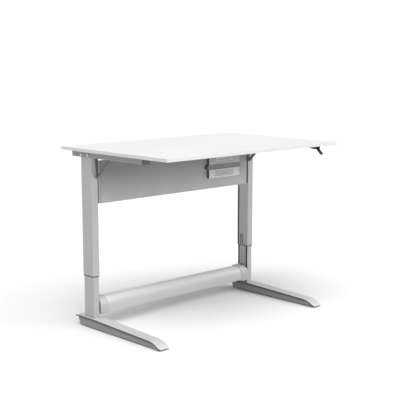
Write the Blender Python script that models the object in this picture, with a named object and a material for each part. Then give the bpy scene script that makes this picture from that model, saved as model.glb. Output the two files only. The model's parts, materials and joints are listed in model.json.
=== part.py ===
"""Height adjustable standing desk: rectangular top on two motor-driven telescoping T-legs.

Metres, +Z up.  X runs across the desk (left leg at -X), the user stands on the -Y side.
The origin is on the floor, under the centre of the top, with the top at its rest height.
"""
import bpy
import bmesh
from math import cos, pi, sin, hypot, radians, tan
from mathutils import Vector

MM = 0.001

# Driving sizes -------------------------------------------------------------------------
GAP = 0.3 * MM                # between pieces that touch in the real desk
REST_HEIGHT = 910.0 * MM      # floor to the face of the top at rest
TRAVEL_DOWN = REST_HEIGHT * 20 / 91   # 200 mm below a rest height of 910 mm
TRAVEL_UP = REST_HEIGHT * 27 / 91     # 270 mm above it; a shorter column travels less

TOP_LENGTH = 1200.0 * MM
TOP_DEPTH = 800.0 * MM
TOP_THICK = 16.0 * MM
TOP_CORNER = 3.0 * MM
TOP_EDGE = 1.2 * MM

LEG_INSET = 22.5 * MM         # end of the top to the outer face of the upper tube
LEG_REAR_INSET = 132.5 * MM   # rear edge of the top to the rear face of the upper tube
TUBE_WIDTH = 40.0 * MM        # upper tube, across the desk
TUBE_DEPTH = 82.0 * MM        # upper tube, front to back
TUBE_WALL = 2.5 * MM
TUBE_CORNER = 2.5 * MM
TUBE_BOTTOM = TRAVEL_UP       # lower end of the upper tube at rest, 270 mm
SLIDE_CLEARANCE = 0.5 * MM    # between upper and lower tube, all round
REBATE_DEEP = 3.0 * MM        # step in the rear corner of the inboard face
REBATE_LONG = 12.0 * MM
GROOVE_LONG = 12.0 * MM       # guide groove in the front of the lower tube's inboard face
GROOVE_DEEP = 3.5 * MM
GROOVE_INSET = 3.5 * MM
TUBE_OVERLAP = REST_HEIGHT * 11 / 91  # tubes still engaged at full height, 110 mm
TUBE_BASE = 5.0 * MM          # base plate of the lower tube
COLLAR_HIGH = 4.7 * MM
COLLAR_CLEARANCE = 0.25 * MM

FOOT_WIDTH = 64.0 * MM
FOOT_FRONT = 727.0 * MM       # rear edge of the top to the toe of the foot
FOOT_REAR = 76.0 * MM         # rear edge of the top to the heel of the foot
FOOT_HIGH = 53.0 * MM         # top of the foot plate at the leg
FOOT_LOW = 38.0 * MM          # top of the foot plate where the toe starts
HEEL_DROP = 9.0 * MM          # the plate rolls down this far at the heel
HEEL_ROLL = 14.0 * MM
TOE_CORNER = 21.0 * MM        # rounded corners of the toe, seen from above
HEEL_CORNER = 4.0 * MM
PLATE_THICK = 4.5 * MM
TOE_LONG = 85.0 * MM
CORE_INSET = 6.0 * MM         # foot channel, in from the edge of the plate
CORE_WALL = 3.0 * MM
CORE_LIFT = 5.5 * MM          # floor to the underside of the channel
TOE_LIFT = 4.0 * MM           # floor to the tip of the toe
HEEL_SLANT = 16.0 * MM

GLIDE_R = 13.0 * MM
GLIDE_HIGH = 6.0 * MM
STUD_R = 4.0 * MM
STUD_LONG = 22.0 * MM
HOLE_CLEARANCE = 0.3 * MM
BOSS_LONG = 34.0 * MM
GLIDE_HEEL = 52.0 * MM        # heel of the foot to the rear glide
GLIDE_TOE = 112.0 * MM        # toe of the foot to the front glide

RAIL_HIGH = 28.0 * MM
RAIL_WALL = 2.0 * MM
RAIL_CLEARANCE = 0.5 * MM     # rail's inner faces to the upper tube's head
RAIL_WIDTH = TUBE_WIDTH + 2 * (RAIL_WALL + RAIL_CLEARANCE)
RAIL_FRONT = 193.5 * MM       # front edge of the top to the front of the rail
RAIL_REAR = 67.0 * MM         # rear edge of the top to the back of the rail
CAP_THICK = 3.0 * MM
CAP_PLUG = 9.0 * MM

HEAD_LONG = 100.0 * MM
HEAD_HIGH = 24.0 * MM
HEAD_CLEARANCE = 0.5 * MM
SIDE_BOLT_R = 3.0 * MM
SIDE_BOLT_HEAD_R = 7.0 * MM
SIDE_BOLT_HEAD = 4.5 * MM
SIDE_BOLT_LONG = 18.0 * MM
SIDE_BOLT_INSETS = (18.5 * MM, 70.5 * MM)   # front of the head block to each bolt

GUSSET_LONG = 104.0 * MM      # down the leg, and forward under the rail
GUSSET_WALL = 2.5 * MM
GUSSET_INSET = 1.0 * MM       # inboard face of the leg to the web
GUSSET_STRUT = 11.0 * MM      # web beside the sloping edge
GUSSET_BAR = 6.0 * MM         # web beside the leg and under the rail
GUSSET_LIP = 12.0 * MM        # flange folded along the sloping edge
GUSSET_FOOT = 17.0 * MM       # widest part of the flange on the leg

PANEL_DROP = 275.0 * MM       # face of the top to the lower edge of the panel
PANEL_TOP_GAP = 45.0 * MM     # underside of the top to the upper edge of the panel
PANEL_SHEET = 1.6 * MM
PANEL_RETURN = 5.0 * MM
BRACKET_SHOW = 20.0 * MM      # bracket seen between leg and panel
BRACKET_LAP = 16.0 * MM       # bracket hidden behind the panel
BRACKET_SHEET = 2.0 * MM
BRACKET_DEEP = 40.0 * MM

FLANGE_CLEARANCE = 0.5 * MM   # flange of the nut post to the lower tube's guide groove
DRIVE_CLEARANCE = 2.5 * MM    # drive to the inside of the lower tube
NUT_STEP = 1.0 * MM           # nut smaller than the drive
POST_STEP = 0.5 * MM          # post smaller than the nut it carries
POST_WALL = 3.0 * MM
SPINDLE_CLEARANCE = 1.5 * MM  # spindle to the bore of the post
DRIVE_BOX = 34.0 * MM
DRIVE_BOX_HIGH = 28.0 * MM
SPINDLE_SOCKET = 13.0 * MM
NUT_HIGH = 30.0 * MM
NUT_CLEARANCE = 0.4 * MM
POST_FLANGE = 6.0 * MM
COLUMN_BOLT_R = 4.0 * MM
COLUMN_BOLT_HEAD_R = 6.5 * MM
COLUMN_BOLT_HEAD = 5.0 * MM
COLUMN_BOLT_OFFSET = 17.0 * MM

BEAM_LOW = 76.0 * MM
BEAM_HIGH = 71.0 * MM
BEAM_FRONT = 1.5 * MM         # beam face behind the end fitting's face
BEAM_WALL = 2.0 * MM
END_LOW = 70.0 * MM
END_HIGH = 82.0 * MM
END_DEPTH = 82.0 * MM
END_FORWARD = 5.5 * MM        # end fitting in front of the upper tube's face
END_WIDTH = 47.5 * MM
END_LEG_GAP = 2.0 * MM        # end fitting to the upper tube's inboard face
END_STRAIGHT = 34.0 * MM      # upright part of the front face
END_CURVE = 48.0 * MM         # front-to-back reach of the curved shoulder
END_FULLNESS = 2.3            # 2 is an ellipse, more is squarer
SPIGOT_LONG = 30.0 * MM
SPIGOT_WALL = 5.0 * MM
LUG_WIDTH = 12.0 * MM         # lug that ties the end fitting to the lower tube
LUG_LOW = 85.0 * MM
LUG_HIGH = 45.0 * MM
LUG_OFFSET = 6.5 * MM         # lug behind the leg's centre
LUG_SIDE_GAP = 1.0 * MM
CLAMP_BOLT_R = 3.5 * MM
CLAMP_BOLT_HEAD_R = 6.5 * MM
CLAMP_BOLT_HEAD = 9.0 * MM
CLAMP_BOLT_LONG = 20.0 * MM
CLAMP_BOLT_REAR = 17.0 * MM   # rear face of the end fitting to the bolt
CLAMP_BOLT_LEG = 14.0 * MM    # leg end of the fitting to the bolt

TOP_SCREW_R = 2.5 * MM
TOP_SCREW_HEAD_R = 4.5 * MM
TOP_SCREW_HEAD = 2.5 * MM
TOP_SCREW_BITE = 13.0 * MM
TOP_SCREW_FRONT = 40.0 * MM   # front of the rail to the front screw
TOP_SCREW_REAR = 230.0 * MM   # back of the rail to the rear screw

BOX_WIDTH = 237.0 * MM
BOX_DEEP = 15.5 * MM
BOX_HIGH = 47.0 * MM
BOX_RAIL_HIGH = 28.5 * MM
BOX_RAIL_DEEP = 13.0 * MM
BOX_RAIL_OUT = 14.0 * MM      # power inlet past the left end of the boxes
BOX_RAIL_PAST = 8.0 * MM      # mounting rail past their right end
BOX_RIGHT = 88.0 * MM         # inboard face of the right leg to the boxes
BOX_LOW = 58.0 * MM           # lower edge of the panel to the lower box
BOX_ROUND = 1.5 * MM
INLET_WIDTH = 12.0 * MM
INLET_HIGH = 22.0 * MM
INLET_PIN_WALL = 2.5 * MM
INLET_DEPTH = 8.5 * MM

SWITCH_WIDTH = 30.0 * MM
SWITCH_LONG = 88.0 * MM
SWITCH_THIN = 5.0 * MM
SWITCH_THICK = 17.0 * MM
SWITCH_SETBACK = 27.0 * MM    # front edge of the top to the housing
SWITCH_RIGHT = 106.0 * MM     # right end of the top to the housing
SWITCH_CHEEK = 4.0 * MM
SWITCH_NOTCH = 24.0 * MM
PADDLE_LONG = 46.0 * MM
PADDLE_ROOT = 6.0 * MM
PADDLE_TIP = 3.5 * MM
PADDLE_ANGLE = radians(45.0)
PADDLE_SIDE_GAP = 0.8 * MM
HUB_R = 4.5 * MM
PIN_R = 1.5 * MM
PIN_CLEARANCE = 0.15 * MM

# Derived places ------------------------------------------------------------------------
TOP_UNDER = REST_HEIGHT - TOP_THICK
TOP_FRONT = -TOP_DEPTH / 2
TOP_REAR = TOP_DEPTH / 2
TOP_END = TOP_LENGTH / 2
LEG_X = TOP_END - LEG_INSET - TUBE_WIDTH / 2
LEG_Y = TOP_REAR - LEG_REAR_INSET - TUBE_DEPTH / 2
LEG_FACE = LEG_Y - TUBE_DEPTH / 2
LEG_INBOARD = LEG_X - TUBE_WIDTH / 2
INNER_WIDTH = TUBE_WIDTH - 2 * (TUBE_WALL + SLIDE_CLEARANCE)
INNER_DEPTH = TUBE_DEPTH - 2 * (TUBE_WALL + SLIDE_CLEARANCE)
INNER_INBOARD = LEG_X - INNER_WIDTH / 2
BORE_HALF = INNER_WIDTH / 2 - TUBE_WALL                    # 14.5 mm inside the lower tube
NARROW_HALF = BORE_HALF - max(GROOVE_DEEP, REBATE_DEEP)    # 11 mm beside the groove
POST_FLANGE_WIDTH = 2 * (NARROW_HALF - FLANGE_CLEARANCE)
DRIVE_R = BORE_HALF - DRIVE_CLEARANCE
NUT_R = DRIVE_R - NUT_STEP
POST_R = NUT_R - POST_STEP
POST_BORE_R = POST_R - POST_WALL
SPINDLE_R = POST_BORE_R - SPINDLE_CLEARANCE
RAIL_TOP = TOP_UNDER - GAP
RAIL_BOTTOM = RAIL_TOP - RAIL_HIGH
HEAD_TOP = RAIL_TOP - RAIL_WALL - GAP
HEAD_BOTTOM = HEAD_TOP - HEAD_HIGH
TUBE_TOP = HEAD_BOTTOM - GAP
LOWER_BOTTOM = FOOT_HIGH + GAP
LOWER_TOP = TUBE_BOTTOM + TRAVEL_UP + TUBE_OVERLAP
FLOOR_PLATE = LOWER_BOTTOM + TUBE_BASE
SPINDLE_LOW = FLOOR_PLATE + POST_FLANGE + TRAVEL_DOWN + 4 * MM
NUT_BOTTOM = SPINDLE_LOW + TRAVEL_UP
NUT_TOP = NUT_BOTTOM + NUT_HIGH
DRIVE_TOP = HEAD_BOTTOM - GAP
DRIVE_BOTTOM = NUT_TOP + TRAVEL_DOWN + 5 * MM
PANEL_HIGH = TOP_UNDER - PANEL_TOP_GAP
PANEL_LOW = REST_HEIGHT - PANEL_DROP
PANEL_X = LEG_INBOARD - BRACKET_SHOW
PANEL_FRONT = LEG_FACE + 0.5 * MM
SIDES = (("left", -1), ("right", 1))


# Small modelling helpers ---------------------------------------------------------------
def clear_scene():
    for obj in list(bpy.data.objects):
        bpy.data.objects.remove(obj, do_unlink=True)


def material(name, colour, roughness, metallic):
    mat = bpy.data.materials.new(name)
    mat.use_nodes = True
    shader = mat.node_tree.nodes["Principled BSDF"]
    shader.inputs["Base Color"].default_value = (*colour, 1.0)
    shader.inputs["Roughness"].default_value = roughness
    shader.inputs["Metallic"].default_value = metallic
    mat.diffuse_color = (*colour, 1.0)
    return mat


def fillet(corners, radius, steps=4):
    """Round each corner of a closed outline; radius is one value or one per corner."""
    count = len(corners)
    radii = radius if isinstance(radius, (list, tuple)) else [radius] * count
    points = []
    for i, corner in enumerate(corners):
        here = Vector(corner)
        before = Vector(corners[i - 1]) - here
        after = Vector(corners[(i + 1) % count]) - here
        if radii[i] <= 0.0:
            points.append(tuple(here))
            continue
        half = before.angle(after) / 2
        reach = min(radii[i] / tan(half), 0.49 * before.length, 0.49 * after.length)
        bend = reach * tan(half)
        middle = (before.normalized() + after.normalized()).normalized()
        centre = here + middle * (bend / sin(half))
        start = here + before.normalized() * reach - centre
        end = here + after.normalized() * reach - centre
        sweep = start.angle_signed(end)
        for k in range(steps + 1):
            t = -sweep * k / steps
            points.append((centre.x + start.x * cos(t) - start.y * sin(t),
                           centre.y + start.x * sin(t) + start.y * cos(t)))
    return points


def rectangle(a0, a1, b0, b1):
    return [(a0, b0), (a1, b0), (a1, b1), (a0, b1)]


def circle(a, b, radius, steps=24):
    return [(a + radius * cos(2 * pi * k / steps), b + radius * sin(2 * pi * k / steps))
            for k in range(steps)]


PLACE = {
    "X": lambda a, b, along: (along, a, b),
    "Y": lambda a, b, along: (a, along, b),
    "Z": lambda a, b, along: (a, b, along),
}


def prism_mesh(name, outline, axis, low, high):
    """A closed prism: the outline in the plane across the axis, swept from low to high."""
    mesh = bpy.data.meshes.new(name)
    bm = bmesh.new()
    place = PLACE[axis]
    ends = [[bm.verts.new(place(a, b, along)) for a, b in outline] for along in (low, high)]
    bm.faces.new(ends[0])
    bm.faces.new(ends[1])
    count = len(outline)
    for i in range(count):
        j = (i + 1) % count
        bm.faces.new((ends[0][i], ends[0][j], ends[1][j], ends[1][i]))
    bmesh.ops.recalc_face_normals(bm, faces=bm.faces)
    bm.to_mesh(mesh)
    bm.free()
    return mesh


def solid(name, outline, axis, low, high, mat=None, origin=(0.0, 0.0, 0.0)):
    mesh = prism_mesh(name, outline, axis, min(low, high), max(low, high))
    for vertex in mesh.vertices:
        vertex.co -= Vector(origin)
    obj = bpy.data.objects.new(name, mesh)
    obj.location = origin
    bpy.context.collection.objects.link(obj)
    if mat is not None:
        mesh.materials.append(mat)
    return obj


def combine(obj, other, operation):
    """Boolean one object with another and keep the finished mesh."""
    modifier = obj.modifiers.new(operation.lower(), "BOOLEAN")
    modifier.operation = operation
    modifier.object = other
    modifier.solver = "EXACT"
    bpy.context.view_layer.update()
    graph = bpy.context.evaluated_depsgraph_get()
    finished = bpy.data.meshes.new_from_object(obj.evaluated_get(graph), depsgraph=graph)
    obj.modifiers.remove(modifier)
    old = obj.data
    obj.data = finished
    bpy.data.meshes.remove(old)
    finished.name = obj.name
    bpy.data.objects.remove(other, do_unlink=True)


def cut(obj, outline, axis, low, high):
    combine(obj, solid("cutter", outline, axis, low, high), "DIFFERENCE")


def add(obj, outline, axis, low, high):
    combine(obj, solid("addition", outline, axis, low, high), "UNION")


def soften(obj, width, segments=2, angle=50.0):
    """Small rounded edges, as on folded, moulded or cast pieces."""
    bevel = obj.modifiers.new("edges", "BEVEL")
    bevel.width = width
    bevel.segments = segments
    bevel.limit_method = "ANGLE"
    bevel.angle_limit = radians(angle)
    bevel.harden_normals = False


def smooth(obj, angle=35.0):
    obj.data.shade_smooth()
    obj.data.set_sharp_from_angle(angle=radians(angle))


def inboard(side, distance):
    """X of a point, given its distance from the leg's centre towards the desk's centre."""
    return side * (LEG_X - distance)


def leg_outline(side, corners, radius):
    """Outline across a leg: corners are (inboard, rearward) distances from its centre."""
    points = [(inboard(side, u), LEG_Y + v) for u, v in corners]
    return fillet(points, radius)


# Leg sections --------------------------------------------------------------------------
def upper_outside(u_grow=0.0):
    u = TUBE_WIDTH / 2 + u_grow
    v = TUBE_DEPTH / 2 + u_grow
    step = TUBE_DEPTH / 2 - REBATE_LONG + u_grow
    return [(-u, -v), (u, -v), (u, step), (u - REBATE_DEEP, step),
            (u - REBATE_DEEP, v), (-u, v)]


def lower_outside():
    u = INNER_WIDTH / 2
    v = INNER_DEPTH / 2
    step = TUBE_DEPTH / 2 - REBATE_LONG - TUBE_WALL - SLIDE_CLEARANCE
    start = -v + GROOVE_INSET
    floor = u - GROOVE_DEEP
    return [(-u, -v), (u, -v), (u, start), (floor, start), (floor, start + GROOVE_LONG),
            (u, start + GROOVE_LONG), (u, step), (u - REBATE_DEEP, step),
            (u - REBATE_DEEP, v), (-u, v)]


def lower_inside():
    u = INNER_WIDTH / 2 - TUBE_WALL
    v = INNER_DEPTH / 2 - TUBE_WALL
    step = TUBE_DEPTH / 2 - REBATE_LONG - 2 * TUBE_WALL - SLIDE_CLEARANCE
    groove_end = -INNER_DEPTH / 2 + GROOVE_INSET + GROOVE_LONG + TUBE_WALL
    narrow = u - GROOVE_DEEP
    return [(-u, -v), (narrow, -v), (narrow, groove_end), (u, groove_end), (u, step),
            (u - REBATE_DEEP, step), (u - REBATE_DEEP, v), (-u, v)]


def slot_outline(side, extra):
    """The slot that lets the upper tube pass the beam's lug, open at its lower end."""
    half = LUG_WIDTH / 2 + LUG_SIDE_GAP
    xs = sorted((inboard(side, TUBE_WIDTH / 2 + extra), inboard(side, TUBE_WIDTH / 2 - 9 * MM)))
    return rectangle(xs[0], xs[1], LEG_Y + LUG_OFFSET - half, LEG_Y + LUG_OFFSET + half)


def build_tubes(name, side, paint, plastic):
    upper = solid(f"{name}_upper_tube", leg_outline(side, upper_outside(), TUBE_CORNER),
                  "Z", TUBE_BOTTOM, TUBE_TOP, paint)
    hollow = leg_outline(side, upper_outside(-TUBE_WALL), 1.0 * MM)
    cut(upper, hollow, "Z", TUBE_BOTTOM - 5 * MM, TUBE_TOP + 5 * MM)
    slot_top = LUG_LOW + LUG_HIGH + TRAVEL_DOWN + 2 * MM
    cut(upper, slot_outline(side, 2 * MM), "Z", TUBE_BOTTOM - 5 * MM, slot_top)
    smooth(upper)

    lower = solid(f"{name}_lower_tube", leg_outline(side, lower_outside(), 1.2 * MM),
                  "Z", LOWER_BOTTOM, LOWER_TOP, paint)
    cut(lower, leg_outline(side, lower_inside(), 0.8 * MM), "Z", FLOOR_PLATE, LOWER_TOP + 5 * MM)
    for offset in (-COLUMN_BOLT_OFFSET, COLUMN_BOLT_OFFSET):
        cut(lower, circle(side * LEG_X, LEG_Y + offset, COLUMN_BOLT_R + HOLE_CLEARANCE), "Z",
            LOWER_BOTTOM - 5 * MM, FLOOR_PLATE + 2 * MM)
    smooth(lower)

    high = TUBE_BOTTOM - GAP
    collar = solid(f"{name}_tube_collar", leg_outline(side, upper_outside(-0.4 * MM), TUBE_CORNER),
                   "Z", high - COLLAR_HIGH, high, plastic)
    inset = -(TUBE_WALL + SLIDE_CLEARANCE) + COLLAR_CLEARANCE
    cut(collar, leg_outline(side, upper_outside(inset), 1.0 * MM), "Z",
        high - COLLAR_HIGH - 2 * MM, high + 2 * MM)
    cut(collar, slot_outline(side, 2 * MM), "Z", high - COLLAR_HIGH - 2 * MM, high + 2 * MM)
    smooth(collar)


# Feet ----------------------------------------------------------------------------------
def foot_top_line():
    """The upper line of the foot plate from heel to toe: flat, a long taper, a rolled toe."""
    heel = TOP_REAR - FOOT_REAR
    toe = TOP_REAR - FOOT_FRONT
    knee = toe + TOE_LONG
    line = []
    for k in range(5):
        t = pi / 2 * (1 - k / 4)
        line.append(Vector((heel - HEEL_ROLL * (1 - sin(t)), FOOT_HIGH - HEEL_DROP * (1 - cos(t)))))
    line.append(Vector((LEG_FACE - 20 * MM, FOOT_HIGH)))
    start = Vector((knee, FOOT_LOW))
    bend = Vector((knee - 0.58 * TOE_LONG, FOOT_LOW - 1.5 * MM))
    end = Vector((toe, TOE_LIFT + PLATE_THICK * 0.9))
    for k in range(11):
        t = k / 10
        line.append(start * (1 - t) ** 2 + bend * 2 * t * (1 - t) + end * t ** 2)
    return line


def offset_line(line, distance):
    """The same line moved square to itself, towards the floor."""
    moved = []
    for i, point in enumerate(line):
        before = line[max(i - 1, 0)]
        after = line[min(i + 1, len(line) - 1)]
        along = (after - before).normalized()
        normal = Vector((-along.y, along.x))
        moved.append(point + normal * distance)
    return moved


def build_foot(name, side, paint, dark):
    line = foot_top_line()
    x0 = side * LEG_X - FOOT_WIDTH / 2
    x1 = side * LEG_X + FOOT_WIDTH / 2
    under = offset_line(line, PLATE_THICK)
    outline = [tuple(p) for p in line] + [tuple(p) for p in reversed(under)]
    plate = solid(f"{name}_foot_plate", outline, "X", x0, x1, paint)
    toe = TOP_REAR - FOOT_FRONT
    heel = TOP_REAR - FOOT_REAR
    blank = fillet(rectangle(x0 - 1 * MM, x1 + 1 * MM, toe - 3 * MM, heel + 3 * MM),
                   [TOE_CORNER, TOE_CORNER, HEEL_CORNER, HEEL_CORNER], 8)
    combine(plate, solid("blank", blank, "Z", -20 * MM, FOOT_HIGH + 20 * MM), "INTERSECT")

    low = CORE_LIFT
    bed = [p for p in offset_line(line, PLATE_THICK + GAP) if p.y > low + 6 * MM]
    bed = [p for p in bed if p.x < heel - HEEL_ROLL + 0.1 * MM]
    heel = bed[0].x
    roof = [tuple(p) for p in bed]
    front = (roof[-1][0] + 2 * MM, low)
    outline = roof + [front, (heel - HEEL_SLANT, low)]
    core = solid(f"{name}_foot", outline, "X", x0 + CORE_INSET, x1 - CORE_INSET, dark)
    rear_glide = TOP_REAR - FOOT_REAR - GLIDE_HEEL
    front_glide = TOP_REAR - FOOT_FRONT + GLIDE_TOE
    pocket = [(front_glide + BOSS_LONG / 2, low - 5 * MM), (rear_glide - BOSS_LONG / 2, low - 5 * MM),
              (rear_glide - BOSS_LONG / 2, bed[0].y - CORE_WALL),
              (bed[1].x, bed[1].y - CORE_WALL)]
    slope = (bed[2].y - bed[1].y) / (bed[2].x - bed[1].x)
    near = front_glide + BOSS_LONG / 2
    pocket.append((near, bed[1].y + slope * (near - bed[1].x) - CORE_WALL))
    cut(core, pocket, "X", x0 + CORE_INSET + CORE_WALL, x1 - CORE_INSET - CORE_WALL)

    for where, y in (("front", front_glide), ("rear", rear_glide)):
        cut(core, circle(side * LEG_X, y, GLIDE_R + HOLE_CLEARANCE, 32), "Z", low - 3 * MM,
            GLIDE_HIGH + GAP)
        cut(core, circle(side * LEG_X, y, STUD_R + HOLE_CLEARANCE, 20), "Z", low,
            GLIDE_HIGH + STUD_LONG + GAP)
        glide = solid(f"{name}_{where}_glide", circle(side * LEG_X, y, GLIDE_R, 32), "Z",
                      0.0, GLIDE_HIGH, PLASTIC)
        add(glide, circle(side * LEG_X, y, STUD_R, 20), "Z", GLIDE_HIGH - 1 * MM,
            GLIDE_HIGH + STUD_LONG)
        smooth(glide)

    head_under = FOOT_HIGH - PLATE_THICK - GAP - CORE_WALL
    for where, offset in (("front", -COLUMN_BOLT_OFFSET), ("rear", COLUMN_BOLT_OFFSET)):
        spot = (side * LEG_X, LEG_Y + offset)
        for obj in (plate, core):
            cut(obj, circle(*spot, COLUMN_BOLT_R + HOLE_CLEARANCE, 20), "Z", 30 * MM,
                FOOT_HIGH + 5 * MM)
        bolt = solid(f"{name}_{where}_column_bolt", circle(*spot, COLUMN_BOLT_HEAD_R, 6), "Z",
                     head_under - GAP - COLUMN_BOLT_HEAD, head_under - GAP, STEEL)
        add(bolt, circle(*spot, COLUMN_BOLT_R, 20), "Z", head_under - 2 * MM,
            FLOOR_PLATE + GAP + POST_FLANGE - 0.5 * MM)
        smooth(bolt)
    smooth(plate)
    smooth(core)


# Lifting drive in each column ----------------------------------------------------------
def build_drive(name, side):
    centre = (side * LEG_X, LEG_Y)
    base = FLOOR_PLATE + GAP
    half = POST_FLANGE_WIDTH / 2
    reach = COLUMN_BOLT_OFFSET + COLUMN_BOLT_R + 4 * MM
    flange = rectangle(centre[0] - half, centre[0] + half, LEG_Y - reach, LEG_Y + reach)
    post = solid(f"{name}_nut_post", flange, "Z", base, base + POST_FLANGE, STEEL)
    add(post, circle(*centre, POST_R), "Z", base + 1 * MM, NUT_BOTTOM - GAP)
    cut(post, circle(*centre, POST_BORE_R), "Z", base - 2 * MM, NUT_BOTTOM + 5 * MM)
    for offset in (-COLUMN_BOLT_OFFSET, COLUMN_BOLT_OFFSET):
        cut(post, circle(centre[0], LEG_Y + offset, COLUMN_BOLT_R + HOLE_CLEARANCE, 20), "Z",
            base - 2 * MM, base + POST_FLANGE + 3 * MM)
    smooth(post)

    nut = solid(f"{name}_lift_nut", circle(*centre, NUT_R), "Z", NUT_BOTTOM, NUT_TOP, NYLON)
    cut(nut, circle(*centre, SPINDLE_R + NUT_CLEARANCE), "Z", NUT_BOTTOM - 2 * MM,
        NUT_TOP + 2 * MM)
    smooth(nut)

    box = rectangle(centre[0] - DRIVE_R, centre[0] + DRIVE_R,
                    LEG_Y - DRIVE_BOX / 2, LEG_Y + DRIVE_BOX / 2)
    drive = solid(f"{name}_drive_unit", fillet(box, 3 * MM), "Z", DRIVE_BOTTOM,
                  DRIVE_BOTTOM + DRIVE_BOX_HIGH, CAST)
    add(drive, circle(*centre, DRIVE_R - 0.5 * MM), "Z", DRIVE_BOTTOM + 1 * MM, DRIVE_TOP)
    cut(drive, circle(*centre, SPINDLE_R + NUT_CLEARANCE), "Z", DRIVE_BOTTOM - 2 * MM,
        DRIVE_BOTTOM + SPINDLE_SOCKET)
    smooth(drive)

    top = DRIVE_BOTTOM + SPINDLE_SOCKET - 1 * MM
    spindle = solid(f"{name}_spindle", circle(*centre, SPINDLE_R), "Z", SPINDLE_LOW, top,
                    STEEL, (centre[0], centre[1], top))
    smooth(spindle)


# Cross beam and its end fittings -------------------------------------------------------
def hood_outline(front, depth, low, high, straight, curve, inset=0.0):
    """Flat back and base, upright lower front, elliptical shoulder up to a flat crown."""
    y0 = front + inset
    y1 = front + depth - inset
    z0 = low + inset
    z1 = low + high - inset
    shoulder = low + straight
    reach = curve - inset
    rise = z1 - shoulder
    points = [(y1, z0), (y1, z1)]
    for k in range(11):
        t = pi / 2 * (1 - k / 10)
        back = abs(cos(t)) ** (2 / END_FULLNESS)
        up = sin(t) ** (2 / END_FULLNESS)
        points.append((y0 + reach - reach * back, shoulder + rise * up))
    points.append((y0, z0))
    return points


def build_beam(paint):
    front = LEG_FACE - END_FORWARD
    end_x = LEG_INBOARD - END_LEG_GAP
    seam = end_x - END_WIDTH
    beam_straight = END_LOW + END_STRAIGHT - BEAM_LOW
    beam_depth = END_DEPTH - 2 * BEAM_FRONT
    beam_args = (front + BEAM_FRONT, beam_depth, BEAM_LOW, BEAM_HIGH, beam_straight, END_CURVE)
    beam = solid("cross_beam", hood_outline(*beam_args), "X", -seam + GAP, seam - GAP, paint)
    cut(beam, hood_outline(*beam_args, BEAM_WALL), "X", -seam - 5 * MM, seam + 5 * MM)
    smooth(beam)

    for name, side in SIDES:
        profile = hood_outline(front, END_DEPTH, END_LOW, END_HIGH, END_STRAIGHT, END_CURVE)
        fitting = solid(f"{name}_beam_end", profile, "X", side * end_x, side * seam, CAST)
        spigot = hood_outline(*beam_args, BEAM_WALL + HOLE_CLEARANCE)
        add(fitting, spigot, "X", side * (seam + 2 * MM), side * (seam - SPIGOT_LONG))
        hollow = hood_outline(*beam_args, BEAM_WALL + HOLE_CLEARANCE + SPIGOT_WALL)
        cut(fitting, hollow, "X", side * (end_x - 8 * MM), side * (seam - SPIGOT_LONG - 5 * MM))
        lug_y = LEG_Y + LUG_OFFSET
        lug = rectangle(lug_y - LUG_WIDTH / 2, lug_y + LUG_WIDTH / 2, LUG_LOW, LUG_LOW + LUG_HIGH)
        add(fitting, fillet(lug, 4 * MM), "X", side * (end_x - 1 * MM),
            side * (INNER_INBOARD - GAP))
        spot = (side * (end_x - CLAMP_BOLT_LEG), front + END_DEPTH - CLAMP_BOLT_REAR)
        crown = END_LOW + END_HIGH
        cut(fitting, circle(*spot, CLAMP_BOLT_R + HOLE_CLEARANCE, 20), "Z",
            crown - CLAMP_BOLT_LONG - 1 * MM, crown + 5 * MM)
        smooth(fitting)
        bolt = solid(f"{name}_beam_bolt", circle(*spot, CLAMP_BOLT_HEAD_R, 20), "Z",
                     crown + GAP, crown + GAP + CLAMP_BOLT_HEAD, STEEL)
        add(bolt, circle(*spot, CLAMP_BOLT_R, 20), "Z", crown - CLAMP_BOLT_LONG,
            crown + 1 * MM)
        smooth(bolt)


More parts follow.
